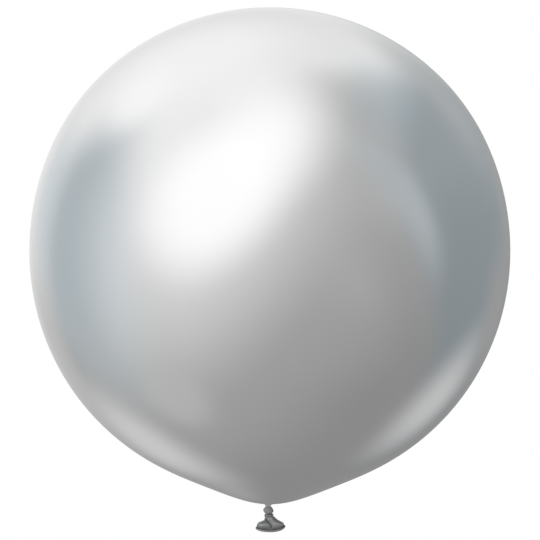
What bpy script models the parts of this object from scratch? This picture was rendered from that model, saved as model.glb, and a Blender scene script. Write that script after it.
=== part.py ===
"""Round giant latex balloon, inflated and tied, hanging in the air by its neck.

Z points up along the envelope's axis. The origin is on that axis, at the height of the neck's
narrowest section, where a ribbon is tied. The tail's broad face looks along -Y.
"""

import math

import bmesh
import bpy

# Envelope: nearly a sphere, a little taller at the crown and drawn down to a foot at the neck
BODY_RADIUS = 0.3044
BODY_CENTRE_Z = 0.3209
CROWN_RISE = 0.0080
CROWN_EDGE = math.radians(65.4)
CROWN_BLEND = math.radians(10.0)
FOOT_DROP = 0.0141
FOOT_WIDTH = math.radians(12.0)
WALL = 0.0006
ENVELOPE_STEPS = 64
BODY_POINTS = 24
FOOT_POINTS = 6

# Clearance between pieces that touch
GAP = 0.0003

# Edges that bend by more than this look sharp
SHARP_ANGLE = math.radians(50.0)

# How often the range that holds the angle of the envelope's hole is halved to find it
HALVINGS = 50

# Neck: flares into the envelope above, and runs down through the knot as a gathered core
NECK_MOUTH_RADIUS = 0.0080
THROAT_RADIUS = 0.0036
THROAT_X = -0.00235
CORE_RADIUS = 0.00305
CORE_START_Z = -0.0008
KNOT_LEAN = math.radians(5.1)
ROUND_STEPS = 32
ARC_POINTS = 8

# Knot: the wide upper turn, the pinch below it and the narrower lower turn. Heights are along
# the knot's leaning axis.
KNOT_TOP_Z = -0.0012
UPPER_TURN_TOP_RADIUS = 0.0040
UPPER_TURN_RADIUS = 0.0066
UPPER_TURN_WIDEST_Z = -0.0056
PINCH_RADIUS = 0.00395
PINCH_Z = -0.0094
LOWER_TURN_RADIUS = 0.0057
LOWER_TURN_WIDEST_Z = -0.0115
KNOT_BASE_RADIUS = 0.0050
KNOT_BASE_Z = -0.0131

# Tail: the free end of the neck, gathered at the knot and flared to a flattened open mouth.
# The three lines run down it: along its left edge and its right edge, as x and z, and down the
# middle of its front, as half-depth and z.
TAIL_LEFT = (
    (-0.0062, -0.0139), (-0.0068, -0.0158), (-0.0077, -0.0178), (-0.0106, -0.0192),
    (-0.0144, -0.0209), (-0.0161, -0.0234), (-0.0169, -0.02605),
)
TAIL_RIGHT = (
    (0.0048, -0.0129), (0.0077, -0.0152), (0.0103, -0.0175), (0.0134, -0.0191),
    (0.0162, -0.0207), (0.0176, -0.0223), (0.0181, -0.02395),
)
TAIL_FRONT = (
    (0.0054, -0.0134), (0.0059, -0.0160), (0.0066, -0.0186), (0.0073, -0.0214),
    (0.0074, -0.0243), (0.0064, -0.0271), (0.0046, -0.0296),
)
TAIL_WALL = 0.0008
TAIL_STEPS = 64
RINGS_PER_SPAN = 3
SIDE_ROUNDING = 0.22
MOUTH_FULLNESS = 0.6

# Shares of the way down the tail: where it has become flat, where the flap's edge crosses to the
# middle, where the flap starts and where it ends
FLAT_BY = 0.5
FLAP_CROSSES = (0.08, 0.75)
FLAP_STARTS = (0.0, 0.17)
FLAP_ENDS = (0.78, 0.98)

# Flap: the tail's right half lies over its puffed left lobe, along a line that starts at the
# left of the knot and ends in the middle of the mouth. It does the same behind. Angles are from
# the middle of the front, positive to the right.
FRONT = math.radians(270.0)
FLAP_AT_KNOT = math.radians(-58.0)
FLAP_AT_MOUTH = math.radians(4.0)
FLAP_RISE = 0.0006
FLAP_REACH = 0.0050
FLAP_EDGE = 0.0008
GROOVE_DEPTH = 0.0015
GROOVE_REACH = 0.0026
STEPS_NEARER_FLAP = 0.62
LOBE_PUFF = 0.0011
LOBE_X = -0.0085
LOBE_Z = -0.0240
LOBE_HALF_WIDTH = 0.0050
LOBE_HALF_HEIGHT = 0.0034

# Lip: the rolled rim of the mouth, which sags between its two ends
LIP_RADIUS = 0.00165
LIP_LEFT = (-0.0166, -0.0280)
LIP_RIGHT = (0.0182, -0.0259)
LIP_FRONT = (0.0052, -0.0314)
LIP_STEPS = 56


def clear_scene():
    """Remove every object, so that the model stands alone."""
    for old in list(bpy.data.objects):
        bpy.data.objects.remove(old, do_unlink=True)


def latex(name, color, roughness, metallic):
    """A Principled material for one piece."""
    mat = bpy.data.materials.new(name)
    mat.use_nodes = True
    shader = mat.node_tree.nodes["Principled BSDF"]
    shader.inputs["Base Color"].default_value = (*color, 1.0)
    shader.inputs["Roughness"].default_value = roughness
    shader.inputs["Metallic"].default_value = metallic
    mat.diffuse_color = (*color, 1.0)
    return mat


def stretched_latex(name):
    """Latex blown up thin, which gives the metallic silver finish its shine."""
    return latex(name, (0.72, 0.72, 0.73), 0.20, 1.0)


def gathered_latex(name):
    """The same latex left thick and gathered, darker and duller."""
    return latex(name, (0.42, 0.42, 0.43), 0.40, 0.90)


def add_object(name, data, material, collection):
    """Link a new object that has one material."""
    data.materials.append(material)
    obj = bpy.data.objects.new(name, data)
    collection.objects.link(obj)
    return obj


def turned(name, profile, steps, closed, material, collection):
    """Revolve a profile of (radius, z) points, which runs down its outer side, about Z."""
    mesh = bpy.data.meshes.new(name)
    edges = [(i, i + 1) for i in range(len(profile) - 1)]
    if closed:
        edges.append((len(profile) - 1, 0))
    mesh.from_pydata([(radius, 0.0, z) for radius, z in profile], edges, [])
    obj = add_object(name, mesh, material, collection)
    screw = obj.modifiers.new("Revolve", "SCREW")
    screw.axis = "Z"
    screw.angle = 2 * math.pi
    screw.steps = steps
    screw.render_steps = steps
    screw.use_merge_vertices = True
    screw.merge_threshold = 1e-6
    screw.use_smooth_shade = True
    return obj


def lofted(name, rings, open_end, material, collection):
    """Join rings of points from top to bottom. The top is capped, and the bottom if not open."""
    bm = bmesh.new()
    rows = [[bm.verts.new(point) for point in ring] for ring in rings]
    for upper, lower in zip(rows, rows[1:]):
        for i in range(len(upper)):
            j = (i + 1) % len(upper)
            bm.faces.new((upper[i], lower[i], lower[j], upper[j]))
    bm.faces.new(rows[0])
    if not open_end:
        bm.faces.new(reversed(rows[-1]))
    mesh = bpy.data.meshes.new(name)
    bm.to_mesh(mesh)
    bm.free()
    mesh.shade_smooth()
    mesh.set_sharp_from_angle(angle=SHARP_ANGLE)
    return add_object(name, mesh, material, collection)


def solidify(obj, thickness):
    """Give an open surface its wall, grown inwards."""
    wall = obj.modifiers.new("Wall", "SOLIDIFY")
    wall.thickness = thickness
    wall.offset = -1.0
    wall.use_rim = True


def ramp(value, start=0.0, end=1.0):
    """Rise from 0 at the start to 1 at the end, with level ends."""
    t = min(max((value - start) / (end - start), 0.0), 1.0)
    return t * t * (3 - 2 * t)


def circle(centre_x, radius, z):
    """Level ring of points, counterclockwise from above."""
    turn = 2 * math.pi / ROUND_STEPS
    return [
        (centre_x + radius * math.cos(i * turn), radius * math.sin(i * turn), z)
        for i in range(ROUND_STEPS)
    ]


def meridian(theta):
    """Point of the envelope's outline, as (radius, z), at an angle from the crown."""
    crown = CROWN_RISE / (1 + math.exp((theta - CROWN_EDGE) / CROWN_BLEND))
    foot = FOOT_DROP * math.exp(-(((math.pi - theta) / FOOT_WIDTH) ** 2))
    reach = BODY_RADIUS + crown + foot
    return reach * math.sin(theta), BODY_CENTRE_Z + reach * math.cos(theta)


def hole_angle():
    """Angle from the crown at which the envelope ends, around the neck's mouth."""
    low = math.pi / 2
    high = math.pi
    for _ in range(HALVINGS):
        middle = (low + high) / 2
        if meridian(middle)[0] > NECK_MOUTH_RADIUS + GAP:
            low = middle
        else:
            high = middle
    return low


def make_envelope(collection):
    """Thin hollow wall, open where the neck joins. Its points lie closer along the foot."""
    foot_start = math.pi - 2 * FOOT_WIDTH
    foot_span = hole_angle() - foot_start
    angles = [foot_start * i / BODY_POINTS for i in range(BODY_POINTS)]
    angles += [foot_start + foot_span * i / FOOT_POINTS for i in range(FOOT_POINTS + 1)]
    profile = [meridian(theta) for theta in angles]
    profile[0] = (0.0, profile[0][1])
    material = stretched_latex("envelope")
    envelope = turned("envelope", profile, ENVELOPE_STEPS, False, material, collection)
    solidify(envelope, WALL)


def knot_axis_x(z):
    """X of the leaning line that the neck's core and the knot's turns share."""
    return THROAT_X - z * math.tan(KNOT_LEAN)


def make_neck(collection):
    """Disc in the envelope's hole, a round flare down to the throat, then the knot's core."""
    mouth_z = meridian(hole_angle())[1]
    rings = [circle(0.0, NECK_MOUTH_RADIUS, mouth_z + WALL)]
    for i in range(ARC_POINTS + 1):
        turn = math.pi / 2 * i / ARC_POINTS
        radius = NECK_MOUTH_RADIUS - (NECK_MOUTH_RADIUS - THROAT_RADIUS) * math.sin(turn)
        shift = THROAT_X * ramp(math.sin(turn))
        rings.append(circle(shift, radius, mouth_z * math.cos(turn)))
    for z in (CORE_START_Z, KNOT_BASE_Z):
        rings.append(circle(knot_axis_x(z), CORE_RADIUS, z))
    lofted("neck", rings, False, stretched_latex("neck"), collection)


def bulge(start, widest, end):
    """Two quarter ellipses: from start out to the widest point, and back in to end."""
    points = []
    for i in range(ARC_POINTS):
        turn = math.pi / 2 * i / ARC_POINTS
        radius = start[0] + (widest[0] - start[0]) * math.sin(turn)
        points.append((radius, widest[1] + (start[1] - widest[1]) * math.cos(turn)))
    for i in range(ARC_POINTS + 1):
        turn = math.pi / 2 * i / ARC_POINTS
        radius = end[0] + (widest[0] - end[0]) * math.cos(turn)
        points.append((radius, widest[1] + (end[1] - widest[1]) * math.sin(turn)))
    return points


def make_turn(name, start, widest, end, collection):
    """One turn of the knot: a ring with a round outside, tied round the neck's core."""
    bore = CORE_RADIUS + GAP
    profile = [(bore, start[1])] + bulge(start, widest, end) + [(bore, end[1])]
    turn = turned(name, profile, ROUND_STEPS, True, gathered_latex(name), collection)
    turn.location.x = THROAT_X
    turn.rotation_euler.y = -KNOT_LEAN


def make_knot(collection):
    """The two turns that show, one above the other."""
    make_turn(
        "knot_upper_turn",
        (UPPER_TURN_TOP_RADIUS, KNOT_TOP_Z),
        (UPPER_TURN_RADIUS, UPPER_TURN_WIDEST_Z),
        (PINCH_RADIUS, PINCH_Z + GAP / 2),
        collection,
    )
    make_turn(
        "knot_lower_turn",
        (PINCH_RADIUS, PINCH_Z - GAP / 2),
        (LOWER_TURN_RADIUS, LOWER_TURN_WIDEST_Z),
        (KNOT_BASE_RADIUS, KNOT_BASE_Z),
        collection,
    )


def spline_points(points):
    """Smooth line through the points, with the same number of steps in each span."""
    line = []
    padded = [points[0], *points, points[-1]]
    for a, b, c, d in zip(padded, padded[1:], padded[2:], padded[3:]):
        for step in range(RINGS_PER_SPAN):
            t = step / RINGS_PER_SPAN
            line.append([catmull_rom(*values, t) for values in zip(a, b, c, d)])
    line.append(list(points[-1]))
    return line


def catmull_rom(a, b, c, d, t):
    """Value at t between b and c, on the smooth curve that also passes a and d."""
    bend = 2 * a - 5 * b + 4 * c - d
    twist = 3 * b - a - 3 * c + d
    return b + 0.5 * t * ((c - a) + t * (bend + t * twist))


def sag(angle):
    """0 at the mouth's two ends and 1 at the middle of its front and back, rounded at the ends."""
    rounded = math.hypot(math.sin(angle), SIDE_ROUNDING)
    return (rounded - SIDE_ROUNDING) / (math.hypot(1.0, SIDE_ROUNDING) - SIDE_ROUNDING)


def fullness(angle):
    """Share of the half-depth that a flattened mouth has at an angle: fuller than an ellipse."""
    sine = math.sin(angle)
    return sine * math.hypot(1.0, MOUTH_FULLNESS) / math.hypot(sine, MOUTH_FULLNESS)


def oval_point(left, right, front, angle, flatness):
    """Point of an oval through three points. Its front hangs below its ends by the sag."""
    centre_x = (left[0] + right[0]) / 2
    half_width = (right[0] - left[0]) / 2
    end_z = right[1] if math.cos(angle) > 0 else left[1]
    share = (1 - abs(math.cos(angle))) * (1 - flatness) + sag(angle) * flatness
    out = math.sin(angle) * (1 - flatness) + fullness(angle) * flatness
    return [
        centre_x + half_width * math.cos(angle),
        front[0] * out,
        end_z + (front[1] - end_z) * share,
    ]


def flap_relief(across, down):
    """How far the skin stands out beside the flap's edge; across is the distance to its right."""
    over = 0.5 + 0.5 * math.tanh(across / FLAP_EDGE)
    rise = FLAP_RISE * math.exp(-max(across, 0.0) / FLAP_REACH)
    groove = GROOVE_DEPTH * math.exp(min(across, 0.0) / GROOVE_REACH)
    fade = ramp(down, *FLAP_STARTS) * (1 - ramp(down, *FLAP_ENDS))
    return fade * (rise * over - groove * (1 - over))


def lobe_puff(x, z):
    """How far the left lobe bulges out."""
    beside = (x - LOBE_X) / LOBE_HALF_WIDTH
    above = (z - LOBE_Z) / LOBE_HALF_HEIGHT
    return LOBE_PUFF * math.exp(-(beside ** 2) - above ** 2)


def tail_ring(left, right, front, down):
    """One ring of the tail, at a share of the way down it. Its points lie closer at the flap."""
    flap_angle = FLAP_AT_KNOT + (FLAP_AT_MOUTH - FLAP_AT_KNOT) * ramp(down, *FLAP_CROSSES)
    half_width = (right[0] - left[0]) / 2
    flatness = ramp(down, 0.0, FLAT_BY)
    ring = []
    for i in range(TAIL_STEPS):
        even = 2 * math.pi * i / TAIL_STEPS
        from_flap = even - 0.5 * STEPS_NEARER_FLAP * math.sin(2 * even)
        angle = FRONT + flap_angle + from_flap
        point = oval_point(left, right, front, angle, flatness)
        stretch = math.hypot(half_width * math.sin(angle), front[0] * math.cos(angle))
        across = math.remainder(from_flap, math.pi) * stretch
        out = flap_relief(across, down) + lobe_puff(point[0], point[2])
        point[0] += out * front[0] * math.cos(angle) / stretch
        point[1] += out * half_width * math.sin(angle) / stretch
        ring.append(point)
    return ring


def make_tail(collection):
    """Thin wall, gathered round at the top and open at the flattened mouth."""
    lines = zip(spline_points(TAIL_LEFT), spline_points(TAIL_RIGHT), spline_points(TAIL_FRONT))
    last = (len(TAIL_LEFT) - 1) * RINGS_PER_SPAN
    rings = [tail_ring(*line, i / last) for i, line in enumerate(lines)]
    tail = lofted("tail", rings, True, gathered_latex("tail"), collection)
    solidify(tail, TAIL_WALL)


def make_lip(collection):
    """Rolled rim: a round cord along the mouth's edge."""
    curve = bpy.data.curves.new("lip", "CURVE")
    curve.dimensions = "3D"
    curve.bevel_depth = LIP_RADIUS
    curve.bevel_resolution = 3
    spline = curve.splines.new("POLY")
    spline.points.add(LIP_STEPS - 1)
    for i, point in enumerate(spline.points):
        angle = 2 * math.pi * i / LIP_STEPS
        point.co = (*oval_point(LIP_LEFT, LIP_RIGHT, LIP_FRONT, angle, 1.0), 1.0)
    spline.use_cyclic_u = True
    add_object("lip", curve, gathered_latex("lip"), collection)


def main():
    clear_scene()
    balloon = bpy.data.collections.new("giant_latex_balloon")
    bpy.context.scene.collection.children.link(balloon)
    make_envelope(balloon)
    make_neck(balloon)
    make_knot(balloon)
    make_tail(balloon)
    make_lip(balloon)


main()
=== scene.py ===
"""Looks of the round giant latex balloon: skin, gathered neck, knot, tail and lip, in a studio.

Every length is in metres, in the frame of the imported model: +Z up along the envelope's axis, the
origin at the neck's narrowest section, the photographed side towards -Y.
"""

import math

import bpy
import numpy as np
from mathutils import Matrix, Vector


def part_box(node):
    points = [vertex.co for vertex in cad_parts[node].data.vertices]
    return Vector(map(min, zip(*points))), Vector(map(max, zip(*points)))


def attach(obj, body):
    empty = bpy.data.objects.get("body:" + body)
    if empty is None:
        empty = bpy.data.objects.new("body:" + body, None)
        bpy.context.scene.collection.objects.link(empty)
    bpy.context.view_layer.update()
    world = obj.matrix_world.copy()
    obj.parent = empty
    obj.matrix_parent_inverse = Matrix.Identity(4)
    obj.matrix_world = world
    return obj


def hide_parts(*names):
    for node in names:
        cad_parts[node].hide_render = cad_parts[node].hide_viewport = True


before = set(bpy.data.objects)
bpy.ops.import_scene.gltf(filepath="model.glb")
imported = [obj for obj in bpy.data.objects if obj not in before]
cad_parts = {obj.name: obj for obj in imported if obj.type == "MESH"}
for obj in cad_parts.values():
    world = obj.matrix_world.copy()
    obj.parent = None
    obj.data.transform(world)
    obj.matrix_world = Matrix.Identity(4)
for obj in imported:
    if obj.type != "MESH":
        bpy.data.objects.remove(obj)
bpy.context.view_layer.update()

MM = 0.001
FRONT = math.radians(270)

# Outline of the envelope, as angles from the crown round the body's centre. Its seven values were
# fitted to the photo's silhouette.
BODY_RADIUS = 0.3044
BODY_CENTRE_Z = 0.3209
CROWN_RISE = 0.0080
CROWN_EDGE = math.radians(65.4)
CROWN_BLEND = math.radians(10.0)
FOOT_DROP = 0.0141
FOOT_WIDTH = math.radians(12.0)

# The envelope's wall, and the rows and steps of its mesh, whose first row is round a small disc
SKIN_WALL = 0.0006
CROWN_DISC = math.radians(0.4)
SKIN_STEPS = 176
BODY_ROWS = 84
FOOT_ROWS = 48
FOOT_WIDTHS_IN_FOOT_ROWS = 2

# Where the angle of the envelope's hole is looked for
HOLE_FROM = math.radians(150)
HOLE_TRIES = 20001

# Gathers of the slack skin: how many go round, their share of the height, where they start
PLEATS = ((9, 0.5, 0.0), (14, 0.35, 1.1), (23, 0.25, 2.3), (5, 0.3, 4.0))
FOOT_PLEAT_HEIGHT = 0.00006
FOOT_PLEAT_REACH = 0.022
NECK_PLEAT_HEIGHT = 0.00005

# Where the latex is thick: how far round the neck, and a spot at the crown
THICK_AT_NECK = 0.060
CROWN_SPOT = 0.030
CROWN_SPOT_CORE = 0.4
CROWN_SPOT_THICKNESS = 0.7

# Neck, and the leaning axis of the knot below it
NECK_MOUTH_RADIUS = 0.0080
FOOT_SLOPE = math.radians(4.3)
THROAT_RADIUS = 0.0036
THROAT_X = -0.00235
CORE_RADIUS = 0.00305
CORE_PLEAT_SHARE = 0.8
CORE_LEVELS = (-0.0005, -0.0010, -0.0050, -0.0148)
KNOT_LEAN = math.radians(5.1)
NECK_ROWS = 28
NECK_STEPS = 176

# Shares of the way down the neck's rows between which it turns slack, and between which it takes
# painted light, paler towards the bead, against the shade between the envelope's foot and the bead
NECK_SLACK = (0.0, 0.6)
NECK_PAINTED_LIGHT = (0.1, 0.8)

# Knot: its outline in millimetres, as radius and height, from the top of each turn to its base
UPPER_TURN = (
    (3.3, -0.62), (4.4, -1.5), (5.6, -3.0), (6.4, -4.8), (6.5, -6.1), (6.1, -7.4), (5.0, -8.7),
    (4.1, -9.5),
)
LOWER_TURN = (
    (4.0, -9.5), (5.0, -10.2), (5.7, -11.1), (5.8, -12.0), (5.5, -12.8), (4.9, -13.3),
    (4.3, -14.4),
)
KNOT_STEPS = 240
KNOT_ROWS = 72
KNOT_TILT = -0.16

# Bead: its fine pleats, and the shares of its height that its slanting creases fade over, that
# its plain top and base take, and between which its painted light fades out, its top painted paler
# against the shade under the envelope's foot; then the painted shade in its creases
BEAD_PLEAT_HEIGHT = 0.00013
BEAD_PLEAT_TWIST = 0.9
BEAD_PLEATS_AT_TOP = 0.35
BEAD_CREASE_FADE = 0.3
BEAD_PLAIN_ENDS = 0.08
BEAD_PAINTED_LIGHT = (0.05, 0.55)
BEAD_CREASE_SHADE = 0.8

# The bead's two creases: the angle from the front where each crosses the middle, how far it goes
# round from top to base, its half-width, and its depth
RIGHT_CREASE = (0.98, -0.5, 0.17, 0.0009)
BACK_CREASE = (3.6, 1.6, 0.22, 0.0006)

# Collar: its even pleats, how far they wander, their part beside the uneven gathers', their
# height at its top and base, and its painted shade between the pleats and how much each pleat
# lightens that painted shade
COLLAR_PLEAT_HEIGHT = 0.00024
COLLAR_PLEATS = 9
COLLAR_WANDER = 0.6
COLLAR_WANDER_START = 0.7
COLLAR_EVEN_PART = 0.7
COLLAR_UNEVEN_PART = 0.4
COLLAR_PLEATS_AT_ENDS = 0.3
COLLAR_SHADE = 0.3
COLLAR_PLEAT_LIGHT = 0.25

# Tail, in millimetres from the knot down to the lip: its left edge and its right edge, as x and
# z, and the middle of its front, as half-depth and z
TAIL_LEFT = (
    (-6.2, -13.9), (-6.8, -15.8), (-7.7, -17.8), (-10.6, -19.2), (-14.4, -20.9), (-16.1, -23.4),
    (-16.8, -26.5),
)
TAIL_RIGHT = (
    (4.8, -12.9), (7.7, -15.2), (10.3, -17.5), (13.4, -19.1), (16.2, -20.7), (17.7, -22.3),
    (18.2, -24.4),
)
TAIL_FRONT = (
    (5.4, -13.4), (5.9, -16.0), (6.6, -18.6), (7.3, -21.4), (7.5, -24.3), (6.4, -27.1),
    (4.7, -30.1),
)
TAIL_WALL = 0.0005
TAIL_STEPS = 320
ROWS_PER_SPAN = 12
SIDE_ROUNDING = 0.22
MOUTH_FULLNESS = 0.6
TAIL_PLEAT_HEIGHT = 0.00022
TAIL_PLEAT_TURN = 0.4
TAIL_PLEATS_END = 0.55

# The flap that lies over the left lobe, in front and behind; shares are of the way down the tail
FLAT_BY = 0.5
FLAP_CROSSES = (0.08, 0.70)
FLAP_STARTS = (0.0, 0.16)
FLAP_ENDS = (0.84, 1.0)
FLAP_AT_KNOT = math.radians(-44)
FLAP_AT_MOUTH = math.radians(6)
FLAP_RISE = 0.0007
FLAP_REACH = 0.0050
FLAP_EDGE = 0.00028
GROOVE_DEPTH = 0.0018
GROOVE_REACH = 0.0024
STEPS_NEARER_FLAP = 0.62
LOBE_PUFF = 0.0012
LOBE_X = -0.0085
LOBE_Z = -0.0240
LOBE_HALF_WIDTH = 0.0050
LOBE_HALF_HEIGHT = 0.0034

# Painted shade of the tail: in the groove on both sides of the flap's edge, then over the lip, at
# the two sides of the mouth and at the collar, each with its painted shade and the shares of the way
# down it fades over. The mouth's sides are as wide as the sine of an angle.
GROOVE_SHADE = 0.9
SHADE_ON_LOBE = 0.0024
SHADE_ON_FLAP_AT_KNOT = 0.0012
SHADE_ON_FLAP_NARROWS = 0.0009
LIP_SHADE = 0.55
LIP_SHADE_FADE = (0.76, 0.93)
SIDE_SHADE = 0.6
SIDE_SHADE_WIDTH = 0.10
SIDE_SHADE_FADE = (0.5, 0.85)
COLLAR_END_SHADE = 0.6
COLLAR_END_FADE = (0.0, 0.06)

# Rolled lip, in millimetres: its ends and its lowest point
LIP_LEFT = (-16.6, -28.0)
LIP_RIGHT = (18.2, -25.9)
LIP_FRONT = (5.2, -31.4)
LIP_RADIUS = 0.00165
LIP_STEPS = 320
LIP_SIDES = 32
LIP_WELD = 1e-6

# How the lip's thickness varies: with the gathers, in short waves, and along the roll's seam,
# which has its place round the roll, its depth and its width
LIP_GATHERS = 0.03
LIP_WAVE_HEIGHT = 0.02
LIP_WAVES = 31
LIP_WAVE_START = 0.5
SEAM_AT = 2.4
SEAM_DEPTH = 0.10
SEAM_WIDTH = 0.05

# Painted shade of the lip: next to the tail's wall, and at its two ends
LIP_TOP_SHADE = 0.8
LIP_TOP_TURN = 0.3
LIP_TOP_FADE = (0.25, 0.85)
LIP_END_SHADE = 0.5
LIP_END_WIDTH = 0.12


def ramp(value, start=0.0, end=1.0):
    """Rise from 0 at the start to 1 at the end, with level ends."""
    t = np.clip((value - start) / (end - start), 0.0, 1.0)
    return t * t * (3 - 2 * t)


def bell(value, width):
    """1 at zero, falling off on both sides."""
    return np.exp(-((value / width) ** 2))


def steps_round(count):
    """Angles of even steps round a circle."""
    return np.arange(count) * (2 * math.pi / count)


def shares_down(rows):
    """Share of the way down of each row, as a column."""
    return np.linspace(0, 1, len(rows))[:, None]


def gathers(angle):
    """Uneven ripple round the neck, about -1 to 1."""
    return sum(share * np.cos(count * angle + start) for count, share, start in PLEATS)


def spline(points, per_span):
    """Points of a smooth curve through each of the given ones, per_span to a span, and the last."""
    points = np.array(points, dtype=float)
    before = np.vstack([[2 * points[0] - points[1]], points[:-2]])
    after = np.vstack([points[2:], [2 * points[-1] - points[-2]]])
    start, end = points[:-1], points[1:]
    t = (np.arange(per_span) / per_span)[None, :, None]
    curve = 0.5 * (
        2 * start[:, None]
        + (end - before)[:, None] * t
        + (2 * before - 5 * start + 4 * end - after)[:, None] * t ** 2
        + (3 * start - before - 3 * end + after)[:, None] * t ** 3
    )
    return np.vstack([curve.reshape(-1, points.shape[1]), points[-1:]])


def grid_faces(count, steps, cap_first):
    """Quads between rows of points that close on themselves, with a cap on the first row or not."""
    row, step = np.meshgrid(np.arange(count - 1), np.arange(steps), indexing="ij")
    after = (step + 1) % steps
    top, base = row * steps, (row + 1) * steps
    corners = [top + step, base + step, base + after, top + after]
    faces = np.stack(corners, axis=-1).reshape(-1, 4).tolist()
    return faces + [list(range(steps))] if cap_first else faces


def grid_piece(node, rows, cap_first=False, **attributes):
    """Object through rows of points, an array (row, step, xyz), with a value at each point."""
    name = node + "_skin"
    mesh = bpy.data.meshes.new(name)
    faces = grid_faces(rows.shape[0], rows.shape[1], cap_first)
    mesh.from_pydata(rows.reshape(-1, 3).tolist(), [], faces)
    for key, values in attributes.items():
        layer = mesh.attributes.new(key, "FLOAT", "POINT")
        layer.data.foreach_set("value", np.asarray(values, dtype=np.float32).ravel())
    mesh.shade_smooth()
    mesh.validate()
    obj = bpy.data.objects.new(name, mesh)
    bpy.context.scene.collection.objects.link(obj)
    return obj


def add_wall(obj, thickness):
    """Give a skin its wall, inwards from its outer face."""
    wall = obj.modifiers.new("Wall", "SOLIDIFY")
    wall.thickness = thickness
    wall.offset = -1.0
    return wall


def dress(obj, material, node):
    """Give a piece its material, and let it stand for its node."""
    obj.data.materials.append(material)
    # Mirrored in the envelope's foot, the small pieces would be a dark spot that the photo lacks
    obj.visible_glossy = node == "envelope"
    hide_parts(node)
    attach(obj, "root")


def meridian(theta):
    """Point of the envelope's outline, as (radius, z), at angles from the crown."""
    crown = CROWN_RISE / (1 + np.exp((theta - CROWN_EDGE) / CROWN_BLEND))
    foot = FOOT_DROP * np.exp(-(((math.pi - theta) / FOOT_WIDTH) ** 2))
    reach = BODY_RADIUS + crown + foot
    return reach * np.sin(theta), BODY_CENTRE_Z + reach * np.cos(theta)


def hole_angle(radius):
    """Angle from the crown at which the envelope's outline comes in to a radius at the foot."""
    theta = np.linspace(HOLE_FROM, math.pi, HOLE_TRIES)
    return float(theta[np.argmax(meridian(theta)[0] < radius)])


def envelope_thickness(radius, z):
    """How thick the skin is: 1 at the neck, less at a spot on the crown, 0 between them."""
    near_neck = 1 - ramp(radius - NECK_MOUTH_RADIUS, 0, THICK_AT_NECK)
    near_crown = 1 - ramp(radius, CROWN_SPOT_CORE * CROWN_SPOT, CROWN_SPOT)
    return np.where(z < BODY_CENTRE_Z, near_neck, CROWN_SPOT_THICKNESS * near_crown)


def make_envelope(material):
    """Skin from the crown to the neck, with faint gathers near the neck."""
    foot_start = math.pi - FOOT_WIDTHS_IN_FOOT_ROWS * FOOT_WIDTH
    theta = np.concatenate([
        np.linspace(CROWN_DISC, foot_start, BODY_ROWS, endpoint=False),
        np.linspace(foot_start, hole_angle(NECK_MOUTH_RADIUS), FOOT_ROWS),
    ])
    radius, z = meridian(theta)
    angle = steps_round(SKIN_STEPS)
    reach = 1 - ramp(radius - NECK_MOUTH_RADIUS, 0, FOOT_PLEAT_REACH)
    reach = np.where(z < BODY_CENTRE_Z, reach, 0.0)
    lift = -FOOT_PLEAT_HEIGHT * reach[:, None] * gathers(angle)[None, :]
    rows = np.stack([
        radius[:, None] * np.cos(angle),
        radius[:, None] * np.sin(angle),
        z[:, None] + lift,
    ], axis=-1)
    thick = np.repeat(envelope_thickness(radius, z), SKIN_STEPS)
    skin = grid_piece("envelope", rows, cap_first=True, thick=thick)
    add_wall(skin, SKIN_WALL).use_rim = False
    dress(skin, material, "envelope")


def knot_axis_x(z):
    """Where the leaning axis of the knot is at a height."""
    return THROAT_X - z * math.tan(KNOT_LEAN)


def flare_rows(angle):
    """Rows of the neck from its mouth in the envelope's foot, down to the throat."""
    mouth_z = float(meridian(np.array(hole_angle(NECK_MOUTH_RADIUS)))[1])
    narrowing = NECK_MOUTH_RADIUS - THROAT_RADIUS
    turn = np.linspace(0, math.pi / 2, NECK_ROWS)
    down = np.cos(turn)
    out = np.sin(turn)
    radius = NECK_MOUTH_RADIUS - narrowing * out
    dip = math.tan(FOOT_SLOPE) * narrowing
    z = mouth_z * down - dip * out * (1 - out)
    shift = THROAT_X * ramp(out)
    height = FOOT_PLEAT_HEIGHT + (NECK_PLEAT_HEIGHT - FOOT_PLEAT_HEIGHT) * ramp(turn)
    ripple = height[:, None] * gathers(angle)[None, :]
    around = radius[:, None] + out[:, None] * ripple
    return np.stack([
        shift[:, None] + around * np.cos(angle),
        around * np.sin(angle),
        z[:, None] - down[:, None] * ripple,
    ], axis=-1)


def core_rows(angle):
    """Rows of the gathered core that runs down through the knot."""
    radius = CORE_RADIUS + NECK_PLEAT_HEIGHT * gathers(angle) * CORE_PLEAT_SHARE
    return np.array([
        np.stack([
            knot_axis_x(level) + radius * np.cos(angle),
            radius * np.sin(angle),
            np.full_like(angle, level),
        ], axis=-1)
        for level in CORE_LEVELS
    ])


def make_neck(material):
    """Flare from the envelope's foot to the throat, then the core down into the knot."""
    angle = steps_round(NECK_STEPS)
    rows = np.concatenate([flare_rows(angle), core_rows(angle)])
    everywhere = np.ones(rows.shape[:2])
    down = shares_down(rows)
    neck = grid_piece(
        "neck", rows,
        thick=everywhere,
        slack=everywhere * ramp(down, *NECK_SLACK),
        # Painted light: paler towards the bead, against the shade between the envelope's foot and
        # the bead
        pale=everywhere * ramp(down, *NECK_PAINTED_LIGHT),
    )
    dress(neck, material, "neck")


def knot_line(outline):
    """Outline of a turn of the knot, as rows of (radius, z)."""
    return spline(outline, KNOT_ROWS // (len(outline) - 1)) * MM


def knot_rows(line, angle, tilt, lift):
    """Rows of a turn of the knot round its leaning axis, with its pleats and creases."""
    radius = line[:, 0:1] + lift
    x = radius * np.cos(angle)
    lean = math.tan(KNOT_LEAN) + tilt * np.sin(math.pi * shares_down(line))
    z = line[:, 1:2] + lean * x
    return np.stack([knot_axis_x(line[:, 1:2]) + x, radius * np.sin(angle), z], axis=-1)


def bead_crease(angle, down, across, slant, width):
    """1 along a crease that slants round the bead, falling off on both sides."""
    centre = FRONT + across + slant * (down - 0.5)
    off = (angle - centre + math.pi) % (2 * math.pi) - math.pi
    return bell(off, width)


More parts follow.
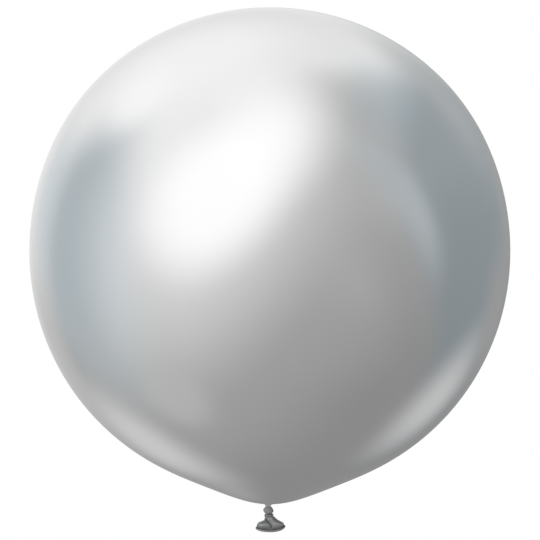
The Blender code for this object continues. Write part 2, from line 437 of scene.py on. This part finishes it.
def make_upper_turn(material):
    """The bead of the knot: the neck rolled over itself, with a deep crease at its right."""
    line = knot_line(UPPER_TURN)
    down = shares_down(line)
    angle = steps_round(KNOT_STEPS)[None, :]
    *right_place, right_depth = RIGHT_CREASE
    *back_place, back_depth = BACK_CREASE
    right = bead_crease(angle, down, *right_place) * ramp(down, 0, BEAD_CREASE_FADE)
    back = bead_crease(angle, down, *back_place) * ramp(1 - down, 0, BEAD_CREASE_FADE)
    growth = BEAD_PLEATS_AT_TOP + (1 - BEAD_PLEATS_AT_TOP) * down ** 3
    fine = gathers(angle + BEAD_PLEAT_TWIST * down) * growth
    ends = np.clip(down / BEAD_PLAIN_ENDS, 0, 1) * np.clip((1 - down) / BEAD_PLAIN_ENDS, 0, 1)
    deep = right_depth * right + back_depth * back
    lift = BEAD_PLEAT_HEIGHT * fine - deep * ends
    crease = np.maximum(right, back)
    taut = 1 - crease
    turn = grid_piece(
        "knot_upper_turn", knot_rows(line, angle, KNOT_TILT, lift),
        # Painted shade along the bead's creases
        crease=BEAD_CREASE_SHADE * crease,
        taut=taut,
        # Painted light: the bead's top paler, against the shade under the envelope's foot
        pale=taut * (1 - ramp(down, *BEAD_PAINTED_LIGHT)),
    )
    dress(turn, material, "knot_upper_turn")


def make_lower_turn(material):
    """The collar under the bead, drawn into short deep pleats."""
    line = knot_line(LOWER_TURN)
    down = shares_down(line)
    angle = steps_round(KNOT_STEPS)[None, :]
    wander = COLLAR_WANDER * np.sin(2 * angle + COLLAR_WANDER_START)
    even = np.cos(COLLAR_PLEATS * angle + wander)
    pleats = COLLAR_EVEN_PART * even + COLLAR_UNEVEN_PART * gathers(angle)
    growth = COLLAR_PLEATS_AT_ENDS + (1 - COLLAR_PLEATS_AT_ENDS) * np.sin(math.pi * down)
    lift = COLLAR_PLEAT_HEIGHT * pleats * growth
    # Painted shade between the collar's pleats, less on their ridges
    crease = np.clip(COLLAR_SHADE - COLLAR_PLEAT_LIGHT * pleats, 0, 1)
    turn = grid_piece(
        "knot_lower_turn", knot_rows(line, angle, 0.0, lift),
        crease=np.repeat(crease, len(line), axis=0),
    )
    dress(turn, material, "knot_lower_turn")


def sag(angle):
    """How far a rim has come down: 0 at its two ends, 1 in front and behind."""
    low = np.hypot(np.sin(angle), SIDE_ROUNDING) - SIDE_ROUNDING
    return low / (math.hypot(1, SIDE_ROUNDING) - SIDE_ROUNDING)


def fullness(angle):
    """Share of the half-depth that a flattened mouth has at an angle: fuller than an ellipse."""
    sine = np.sin(angle)
    return sine * math.hypot(1, MOUTH_FULLNESS) / np.hypot(sine, MOUTH_FULLNESS)


def oval(left, right, front, angle, flatness):
    """Points of ovals through three points each. The front hangs below the ends by the sag."""
    centre_x = (left[..., 0:1] + right[..., 0:1]) / 2
    half_width = (right[..., 0:1] - left[..., 0:1]) / 2
    end_z = np.where(np.cos(angle) > 0, right[..., 1:2], left[..., 1:2])
    share = (1 - np.abs(np.cos(angle))) * (1 - flatness) + sag(angle) * flatness
    out = np.sin(angle) * (1 - flatness) + fullness(angle) * flatness
    return np.stack([
        centre_x + half_width * np.cos(angle),
        front[..., 0:1] * out,
        end_z + (front[..., 1:2] - end_z) * share,
    ], axis=-1)


def flap_fold(across):
    """How far the flap stands out and the lobe beside it draws in, at distances from its edge."""
    over = 0.5 + 0.5 * np.tanh(across / FLAP_EDGE)
    rise = FLAP_RISE * np.exp(-np.maximum(across, 0) / FLAP_REACH)
    groove = GROOVE_DEPTH * np.exp(np.minimum(across, 0) / GROOVE_REACH)
    return rise * over - groove * (1 - over)


def lobe_puff(rows):
    """How far the left lobe is puffed out at points of the tail."""
    beside = (rows[..., 0] - LOBE_X) / LOBE_HALF_WIDTH
    above = (rows[..., 2] - LOBE_Z) / LOBE_HALF_HEIGHT
    return LOBE_PUFF * np.exp(-beside ** 2 - above ** 2)


def tail_shade(angle, down, across, fade):
    """Painted shade of the tail: in the flap's groove, over the lip, at its sides and at the collar.
    """
    on_flap = SHADE_ON_FLAP_AT_KNOT - SHADE_ON_FLAP_NARROWS * down
    groove = np.where(across < 0, bell(across, SHADE_ON_LOBE), np.exp(-across / on_flap))
    over_lip = LIP_SHADE * ramp(down, *LIP_SHADE_FADE)
    at_side = SIDE_SHADE * bell(np.sin(angle), SIDE_SHADE_WIDTH) * ramp(down, *SIDE_SHADE_FADE)
    at_collar = COLLAR_END_SHADE * (1 - ramp(down, *COLLAR_END_FADE))
    shade = np.maximum(GROOVE_SHADE * fade * groove, over_lip)
    return np.maximum(shade, np.maximum(at_side, at_collar))


def make_tail(material):
    """The tail, with its flap over the puffed left lobe, in front and behind."""
    left, right, front = (
        spline(edge, ROWS_PER_SPAN) * MM for edge in (TAIL_LEFT, TAIL_RIGHT, TAIL_FRONT)
    )
    down = shares_down(left)
    even = steps_round(TAIL_STEPS)[None, :]
    from_flap = even - 0.5 * STEPS_NEARER_FLAP * np.sin(2 * even)
    flap = FLAP_AT_KNOT + (FLAP_AT_MOUTH - FLAP_AT_KNOT) * ramp(down, *FLAP_CROSSES)
    angle = FRONT + flap + from_flap
    rows = oval(left, right, front, angle, ramp(down, 0, FLAT_BY))

    half = (right[:, 0:1] - left[:, 0:1]) / 2
    depth = front[:, 0:1]
    stretch = np.hypot(half * np.sin(angle), depth * np.cos(angle))
    across = ((from_flap + math.pi / 2) % math.pi - math.pi / 2) * stretch
    fade = ramp(down, *FLAP_STARTS) * (1 - ramp(down, *FLAP_ENDS))
    pleat = TAIL_PLEAT_HEIGHT * gathers(angle + TAIL_PLEAT_TURN)
    pleat *= 1 - ramp(down, 0, TAIL_PLEATS_END)
    out = fade * flap_fold(across) + lobe_puff(rows) + pleat
    rows[..., 0] += out * depth * np.cos(angle) / stretch
    rows[..., 1] += out * half * np.sin(angle) / stretch

    # Painted shade of the groove, lip, sides and collar, carried as the crease attribute
    tail = grid_piece("tail", rows, crease=tail_shade(angle, down, across, fade))
    add_wall(tail, TAIL_WALL)
    dress(tail, material, "tail")


def lip_frame(angle):
    """Path of the lip, and the directions out of it and up from it, at angles round the mouth."""
    path = oval(*(np.array(point) * MM for point in (LIP_LEFT, LIP_RIGHT, LIP_FRONT)), angle, 1.0)
    ahead = np.roll(path, -1, axis=0) - np.roll(path, 1, axis=0)
    ahead /= np.linalg.norm(ahead, axis=-1, keepdims=True)
    up = np.array([0.0, 0.0, 1.0]) - ahead * ahead[:, 2:3]
    up /= np.linalg.norm(up, axis=-1, keepdims=True)
    return path, np.cross(ahead, up), up


def lip_radius(angle, around):
    """Radius of the roll: uneven along its length, with its edge as a shallow seam."""
    waves = LIP_WAVE_HEIGHT * np.cos(LIP_WAVES * angle + LIP_WAVE_START)
    along = 1 + LIP_GATHERS * gathers(angle) + waves
    seam = 1 - SEAM_DEPTH * bell(np.cos(around - SEAM_AT) - 1, SEAM_WIDTH)
    return LIP_RADIUS * along[:, None] * seam


def make_lip(material):
    """Roll of rubber round the mouth."""
    angle = steps_round(LIP_STEPS)
    around = steps_round(LIP_SIDES)[None, :]
    path, out, up = lip_frame(angle)
    radius = lip_radius(angle, around)
    rows = (
        path[:, None]
        + out[:, None] * (radius * np.cos(around))[..., None]
        + up[:, None] * (radius * np.sin(around))[..., None]
    )
    # Painted shade next to the tail's wall and at the lip's two ends
    at_wall = LIP_TOP_SHADE * ramp(np.sin(around + LIP_TOP_TURN), *LIP_TOP_FADE)
    at_ends = LIP_END_SHADE * bell(np.sin(angle), LIP_END_WIDTH)[:, None]
    crease = np.clip(at_wall + at_ends, 0, 1)
    lip = grid_piece(
        "lip", np.concatenate([rows, rows[:1]]), crease=np.concatenate([crease, crease[:1]])
    )
    lip.modifiers.new("Weld", "WELD").merge_threshold = LIP_WELD
    dress(lip, material, "lip")


class Graph:
    """Short way to add nodes to a material, a world or a group, and to join them."""

    def __init__(self, tree):
        self.nodes = tree.nodes
        self.link = tree.links.new

    def add(self, kind, inputs=None, **settings):
        node = self.nodes.new("ShaderNode" + kind)
        for key, value in settings.items():
            setattr(node, key, value)
        for key, value in (inputs or {}).items():
            self.feed(node.inputs[key], value)
        return node

    def feed(self, socket, value):
        """Link a socket to another one, or set it to a value."""
        if isinstance(value, bpy.types.NodeSocket):
            self.link(value, socket)
        else:
            socket.default_value = value

    def math(self, operation, first, second):
        return self.add("Math", {0: first, 1: second}, operation=operation).outputs[0]

    def blend(self, factor, low, high):
        """Number between two others."""
        return self.add("Mix", {0: factor, 2: low, 3: high}).outputs[0]

    def tint(self, factor, first, second):
        """Colour between two others."""
        return self.add("Mix", {0: factor, 6: first, 7: second}, data_type="RGBA").outputs[2]

    def smooth(self, value, **limits):
        """Value mapped with level ends, with the node's own limits."""
        inputs = {key.replace("_", " ").title(): limit for key, limit in limits.items()}
        inputs["Value"] = value
        return self.add("MapRange", inputs, interpolation_type="SMOOTHSTEP").outputs[0]

    def stretched(self, place, scale):
        """Place with its axes scaled, to draw out a noise."""
        return self.add("Mapping", {"Vector": place, "Scale": scale}).outputs[0]

    def noise(self, place, scale, detail=2.0, roughness=0.5):
        """Noise of so many features a metre."""
        made = self.add("TexNoise", {
            "Vector": place, "Scale": scale, "Detail": detail, "Roughness": roughness,
        })
        return made.outputs["Fac"]

    def bump(self, height, strength, depth):
        made = self.add("Bump", {"Strength": strength, "Distance": depth, "Height": height})
        return made.outputs[0]

    def attribute(self, name):
        return self.add("Attribute", attribute_name=name).outputs["Fac"]


def grey(value, blue=0.0):
    """Grey, turned a little to blue."""
    return (value - 0.5 * blue, value, value + blue, 1.0)


def new_material(name):
    """Material with its graph, its shader's sockets, and a place on the piece in metres."""
    mat = bpy.data.materials.new(name)
    mat.use_nodes = True
    graph = Graph(mat.node_tree)
    place = graph.add("TexCoord").outputs["Object"]
    return mat, graph, mat.node_tree.nodes["Principled BSDF"].inputs, place


# Stretched skin: greys of its clouds, pearl, streaks and thick places; shares of its pearl and
# streaks; noise scales, in features a metre; and how far the streaks are drawn out
SKIN_CLOUDS = (0.70, 0.74)
SKIN_PEARL = 0.60
SKIN_STREAKS = 0.82
SKIN_WHERE_THICK = 0.68
SKIN_PEARL_SHARE = 0.10
SKIN_STREAK_SHARE = 0.06
SKIN_CLOUD_SCALE = 5.0
SKIN_PEARL_SCALE = 900.0
SKIN_STREAK_SCALE = 60.0
SKIN_STREAK_STRETCH = (1.0, 1.0, 0.12)
SKIN_GRAIN_SCALE = 260.0
SKIN_STREAK_HEIGHT = 0.6
SKIN_BUMP = 0.05

# Its roughness, plain and where it is thick, and the tint of its metal's edge
SKIN_ROUGHNESS = (0.16, 0.20)
THICK_ROUGHNESS = 0.25
SKIN_EDGE_TINT = 0.86

# The same skin, slack: greys of its streaks and of its painted light towards the bead, its roughness
# and metal
SLACK_STREAKS = (0.26, 0.30)
SLACK_PAINTED_LIGHT = 0.46
SLACK_ROUGHNESS = 0.55
SLACK_METAL = 0.35

# Gathered latex: greys of its clouds, pearl and painted crease shade, each with how blue it is, and
# of the taut bead, whose top has painted light
GATHERED_CLOUDS = (grey(0.30, 0.003), grey(0.37, 0.003))
GATHERED_PEARL = grey(0.62)
GATHERED_CREASE_SHADE = grey(0.13, 0.002)
GATHERED_PEARL_SHARE = 0.2
TAUT_CLOUDS = (grey(0.25), grey(0.32))
TAUT_PAINTED_LIGHT = grey(0.62)

# Its noise scales, roughness and metal
GATHERED_CLOUD_SCALE = 160.0
GATHERED_PEARL_SCALE = 2500.0
WRINKLE_SCALE = 900.0
WRINKLE_ROUGHNESS = 0.6
WRINKLE_STRETCH = (1.0, 1.0, 0.3)
WRINKLE_BUMP = 0.25
GATHERED_ROUGHNESS = (0.34, 0.44)
CREASE_ROUGHNESS = 0.6
GATHERED_METAL = 0.9
TAUT_METAL = 0.35
LATEX_BUMP_DEPTH = 0.0002


def stretched_latex():
    """Blown-up skin: bright metallic silver, cloudy and finely pearled, duller where it is thick."""
    mat, graph, shader, place = new_material("stretched_latex")
    thick = graph.attribute("thick")
    slack = graph.attribute("slack")
    cloud = graph.noise(place, SKIN_CLOUD_SCALE, 3.0)
    pearl = graph.noise(place, SKIN_PEARL_SCALE, 1.0)
    streak = graph.noise(graph.stretched(place, SKIN_STREAK_STRETCH), SKIN_STREAK_SCALE)
    dark, light = SKIN_CLOUDS
    tone = graph.tint(cloud, grey(dark), grey(light))
    tone = graph.tint(graph.math("MULTIPLY", pearl, SKIN_PEARL_SHARE), tone, grey(SKIN_PEARL))
    tone = graph.tint(graph.math("MULTIPLY", streak, SKIN_STREAK_SHARE), tone, grey(SKIN_STREAKS))
    tone = graph.tint(thick, tone, grey(SKIN_WHERE_THICK))
    dark, light = SLACK_STREAKS
    unstretched = graph.tint(streak, grey(dark), grey(light))
    # Painted light on the slack neck, paler towards the bead, against the shade there
    unstretched = graph.tint(graph.attribute("pale"), unstretched, grey(SLACK_PAINTED_LIGHT))
    graph.feed(shader["Base Color"], graph.tint(slack, tone, unstretched))
    even = graph.blend(thick, graph.blend(cloud, *SKIN_ROUGHNESS), THICK_ROUGHNESS)
    graph.feed(shader["Roughness"], graph.blend(slack, even, SLACK_ROUGHNESS))
    graph.feed(shader["Metallic"], graph.blend(slack, 1.0, SLACK_METAL))
    shader["Specular Tint"].default_value = grey(SKIN_EDGE_TINT)
    grain = graph.noise(place, SKIN_GRAIN_SCALE)
    height = graph.math("ADD", grain, graph.math("MULTIPLY", streak, SKIN_STREAK_HEIGHT))
    graph.feed(shader["Normal"], graph.bump(height, SKIN_BUMP, LATEX_BUMP_DEPTH))
    return mat


def gathered_latex():
    """Slack latex of the knot, tail and lip: darker satin silver, wrinkled, painted shade in its
    creases.
    """
    mat, graph, shader, place = new_material("gathered_latex")
    crease = graph.attribute("crease")
    taut = graph.attribute("taut")
    cloud = graph.noise(place, GATHERED_CLOUD_SCALE, 3.0)
    pearl = graph.noise(place, GATHERED_PEARL_SCALE, 1.0)
    tone = graph.tint(cloud, *GATHERED_CLOUDS)
    tone = graph.tint(graph.math("MULTIPLY", pearl, GATHERED_PEARL_SHARE), tone, GATHERED_PEARL)
    tone = graph.tint(taut, tone, graph.tint(cloud, *TAUT_CLOUDS))
    # Painted light on the bead's top
    tone = graph.tint(graph.attribute("pale"), tone, TAUT_PAINTED_LIGHT)
    # Painted shade in the creases, from the crease attribute
    graph.feed(shader["Base Color"], graph.tint(crease, tone, GATHERED_CREASE_SHADE))
    even = graph.blend(cloud, *GATHERED_ROUGHNESS)
    graph.feed(shader["Roughness"], graph.blend(crease, even, CREASE_ROUGHNESS))
    graph.feed(shader["Metallic"], graph.blend(taut, GATHERED_METAL, TAUT_METAL))
    drawn_out = graph.stretched(place, WRINKLE_STRETCH)
    wrinkle = graph.noise(drawn_out, WRINKLE_SCALE, 3.0, WRINKLE_ROUGHNESS)
    graph.feed(shader["Normal"], graph.bump(wrinkle, WRINKLE_BUMP, LATEX_BUMP_DEPTH))
    return mat


# Camera: level, on a long lens
LENS_MM = 200.0
SENSOR_MM = 36.0
CAMERA_DISTANCE = 3.8167
CAMERA_X = 0.0002
CAMERA_Z = 0.3002
CAMERA_SEES_TO = 100.0


def make_camera():
    """Level camera on a long lens, in front of the balloon."""
    data = bpy.data.cameras.new("camera")
    data.lens = LENS_MM
    data.sensor_width = SENSOR_MM
    data.clip_end = CAMERA_SEES_TO
    camera = bpy.data.objects.new("camera", data)
    camera.location = (CAMERA_X, -CAMERA_DISTANCE, CAMERA_Z)
    camera.rotation_euler = (math.radians(90), 0, 0)
    bpy.context.scene.collection.objects.link(camera)
    bpy.context.scene.camera = camera


# Studio: its brightness below and above a soft horizon, the share of its light that the latex is
# taken to give back, which its strength makes up for, and the way a grey turns to blue. The first
# four began as a fit to the photo, as PANELS did.
GROUND = 0.26
SKY = 0.78
HORIZON_LOW = math.radians(-35)
HORIZON_HIGH = math.radians(10)
LATEX_SHINE = 0.72
BLUE = (-1.2, 0.25, 1.0)

# Each light, wall or flag round the balloon, later ones in front: its azimuth to the right of the
# camera and its elevation, its half-width and half-height in degrees, the softness of its edge, its
# roll, its brightness, how blue it is, and how much of what is behind it it hides. Not all of them
# were set by hand. All but these nine began as a least-squares fit to the photo's reflections, were
# rounded, and mostly were changed: the right flag's top and end, the right upper rim wall,
# the left flag's shoulder and foot, the left top lamp, the low strips' two ends, the right rim wall.
PANELS = {
    "front ground": (-15, -15, 125, 55, 0.8, 50, 0.36, 0, 1.0),
    "right wall": (40, 10, 85, 60, 0.4, 20, 0.36, 0, 0.5),
    "right low wall": (115, -15, 70, 30, 0.4, -10, 0.26, 0, 0.7),
    "right flag": (124, 5, 54, 39, 0.25, -25, 0.25, 0.028, 0.8),
    "right flag's top": (104, 51, 24, 12, 0.6, 0, 0.48, 0.12, 0.17),
    "right flag's end": (148, 27, 14, 12, 0.7, 0, 0.50, 0, 0.35),
    "right upper rim wall": (165, 5, 15, 10, 0.6, 0, 0.38, 0, 0.7),
    "right flag's edge": (71, 20, 8, 27, 0.65, 30, 0.43, 0.024, 1.0),
    "left flag": (-100, -2, 32, 42, 0.42, 0, 0.45, 0.034, 1.0),
    "left flag's shoulder": (-138, 9, 12, 11, 0.6, 0, 0.56, 0.05, 0.5),
    "left flag's foot": (-115, -34, 36, 16, 0.6, 0, 0.44, 0, 0.35),
    "key's halo": (-34, 16, 60, 41, 0.9, 55, 1.2, 0, 0.4),
    "key": (-27, 25, 26, 36, 0.5, -40, 1.0, 0, 1.0),
    "top light": (4, 58, 18, 24, 0.9, 0, 1.05, 0, 0.75),
    "left top light": (-135, 57, 30, 25, 0.6, 55, 0.90, 0, 1.0),
    "left top lamp": (-114, 47, 13, 10, 0.7, 0, 0.94, 0, 0.9),
    "low left strip": (-152, -36, 16, 13, 0.75, -40, 0.60, 0, 1.0),
    "low left strip's end": (-150, -14, 13, 9, 0.8, 0, 0.52, 0, 0.7),
    "right rim wall": (168, -14, 18, 20, 0.5, 0, 0.27, 0, 0.9),
    "low right strip": (138, -31, 14, 13, 0.8, 35, 0.55, 0, 0.95),
    "low right strip's end": (146, -7, 14, 8, 0.8, 0, 0.34, 0, 0.8),
    "low front card": (-87, -56, 15, 13, 0.45, 20, 0.47, 0, 0.8),
}

# What the group that draws a panel is given, and what keeps it from dividing by zero
PANEL_SOCKETS = (
    ("Direction", "Vector"), ("Aim", "Vector"), ("Roll", "Float"),
    ("Scale", "Vector"), ("Inner", "Float"), ("Outer", "Float"),
)
JUST_OVER_ONE = 1.0001


def panel_mask_group():
    """Node group: 1 inside a soft-edged oval panel of the studio, 0 outside it."""
    tree = bpy.data.node_groups.new("soft panel", "ShaderNodeTree")
    for name, kind in PANEL_SOCKETS:
        tree.interface.new_socket(name, in_out="INPUT", socket_type="NodeSocket" + kind)
    tree.interface.new_socket("Mask", in_out="OUTPUT", socket_type="NodeSocketFloat")
    given = tree.nodes.new("NodeGroupInput").outputs
    graph = Graph(tree)
    aimed = graph.add(
        "VectorRotate", {"Vector": given["Direction"], "Rotation": given["Aim"]},
        rotation_type="EULER_XYZ", invert=True,
    ).outputs[0]
    rolled = graph.add(
        "VectorRotate", {"Vector": aimed, "Angle": given["Roll"]}, rotation_type="Y_AXIS"
    ).outputs[0]
    ahead = graph.add("SeparateXYZ", {0: rolled}).outputs["Y"]
    sized = graph.add("VectorMath", {0: rolled, 1: given["Scale"]}, operation="MULTIPLY")
    length = graph.add("VectorMath", {0: sized.outputs[0]}, operation="LENGTH").outputs["Value"]
    away = graph.math("DIVIDE", length, graph.math("SUBTRACT", JUST_OVER_ONE, ahead))
    fade = graph.smooth(
        away, from_min=given["Inner"], from_max=given["Outer"], to_min=1.0, to_max=0.0
    )
    graph.feed(tree.nodes.new("NodeGroupOutput").inputs[0], fade)
    return tree


def add_panel(graph, group, direction, name, panel, behind):
    """Colour of the studio with one more panel in front of it."""
    az, el, width, tall, soft, roll, bright, blue, cover = panel
    mask = graph.add("Group", {
        "Direction": direction,
        "Aim": (math.radians(-el), 0.0, math.radians(az)),
        "Roll": math.radians(roll),
        "Scale": (1 / math.tan(math.radians(width / 2)), 0.0, 1 / math.tan(math.radians(tall / 2))),
        "Inner": 1 - soft,
        "Outer": 1 + soft,
    }, node_tree=group, label=name).outputs[0]
    colour = (*(bright + blue * channel for channel in BLUE), 1.0)
    return graph.tint(graph.math("MULTIPLY", mask, cover), behind, colour)


def make_world():
    """White for the camera and for dull surfaces; for gloss, a grey studio with soft panels."""
    world = bpy.data.worlds.new("studio")
    world.use_nodes = True
    world.node_tree.nodes.clear()
    bpy.context.scene.world = world
    graph = Graph(world.node_tree)
    direction = graph.add("TexCoord").outputs["Generated"]
    height = graph.add("SeparateXYZ", {0: direction}).outputs["Z"]
    above = graph.smooth(height, from_min=math.sin(HORIZON_LOW), from_max=math.sin(HORIZON_HIGH))
    colour = graph.tint(above, grey(GROUND), grey(SKY))
    group = panel_mask_group()
    for name, panel in PANELS.items():
        colour = add_panel(graph, group, direction, name, panel, colour)
    studio = graph.add("Background", {"Color": colour, "Strength": 1 / LATEX_SHINE}).outputs[0]
    white = graph.add("Background", {"Color": grey(1.0)}).outputs[0]
    glossy = graph.add("LightPath").outputs["Is Glossy Ray"]
    shown = graph.add("MixShader", {0: glossy, 1: white, 2: studio}).outputs[0]
    graph.add("OutputWorld", {"Surface": shown})


# Floor, well below the lip: its place and size, its paper's greys and roughness, and the scales
# and height of its noise
FLOOR_DROP = 0.45
FLOOR_RADIUS = 4.0
FLOOR_SIDES = 128
PAPER_GREYS = (0.965, 0.985)
PAPER_ROUGHNESS = (0.85, 0.95)
PAPER_MOTTLE_SCALE = 3.0
PAPER_GRAIN_SCALE = 400.0
PAPER_BUMP = 0.1
PAPER_BUMP_DEPTH = 0.0005


def floor_paper():
    """Pale matt paper with a faint mottle; from below it is left out of sight."""
    mat, graph, shader, place = new_material("floor_paper")
    mottle = graph.noise(place, PAPER_MOTTLE_SCALE, 4.0)
    grain = graph.noise(place, PAPER_GRAIN_SCALE)
    dark, light = PAPER_GREYS
    graph.feed(shader["Base Color"], graph.tint(mottle, grey(dark), grey(light)))
    graph.feed(shader["Roughness"], graph.blend(grain, *PAPER_ROUGHNESS))
    shader["Specular IOR Level"].default_value = 0.0
    graph.feed(shader["Normal"], graph.bump(grain, PAPER_BUMP, PAPER_BUMP_DEPTH))
    surface = graph.nodes["Principled BSDF"].outputs[0]
    clear = graph.add("BsdfTransparent").outputs[0]
    under = graph.add("NewGeometry").outputs["Backfacing"]
    shown = graph.add("MixShader", {0: under, 1: surface, 2: clear}).outputs[0]
    graph.feed(graph.nodes["Material Output"].inputs["Surface"], shown)
    return mat


def make_floor():
    """Plain pale floor well below the lip, seen by the camera but not mirrored in the balloon."""
    floor_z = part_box("lip")[0][2] - FLOOR_DROP
    bpy.ops.mesh.primitive_circle_add(
        vertices=FLOOR_SIDES, radius=FLOOR_RADIUS, fill_type="NGON", location=(0, 0, floor_z)
    )
    floor = bpy.context.object
    floor.name = "floor"
    floor.visible_glossy = False
    floor.data.materials.append(floor_paper())


def main():
    """Set up the studio, then make each piece with its material."""
    bpy.context.scene.view_settings.view_transform = "Standard"
    make_camera()
    make_world()
    make_floor()
    skin = stretched_latex()
    dull = gathered_latex()
    make_envelope(skin)
    make_neck(skin)
    make_upper_turn(dull)
    make_lower_turn(dull)
    make_tail(dull)
    make_lip(dull)


main()
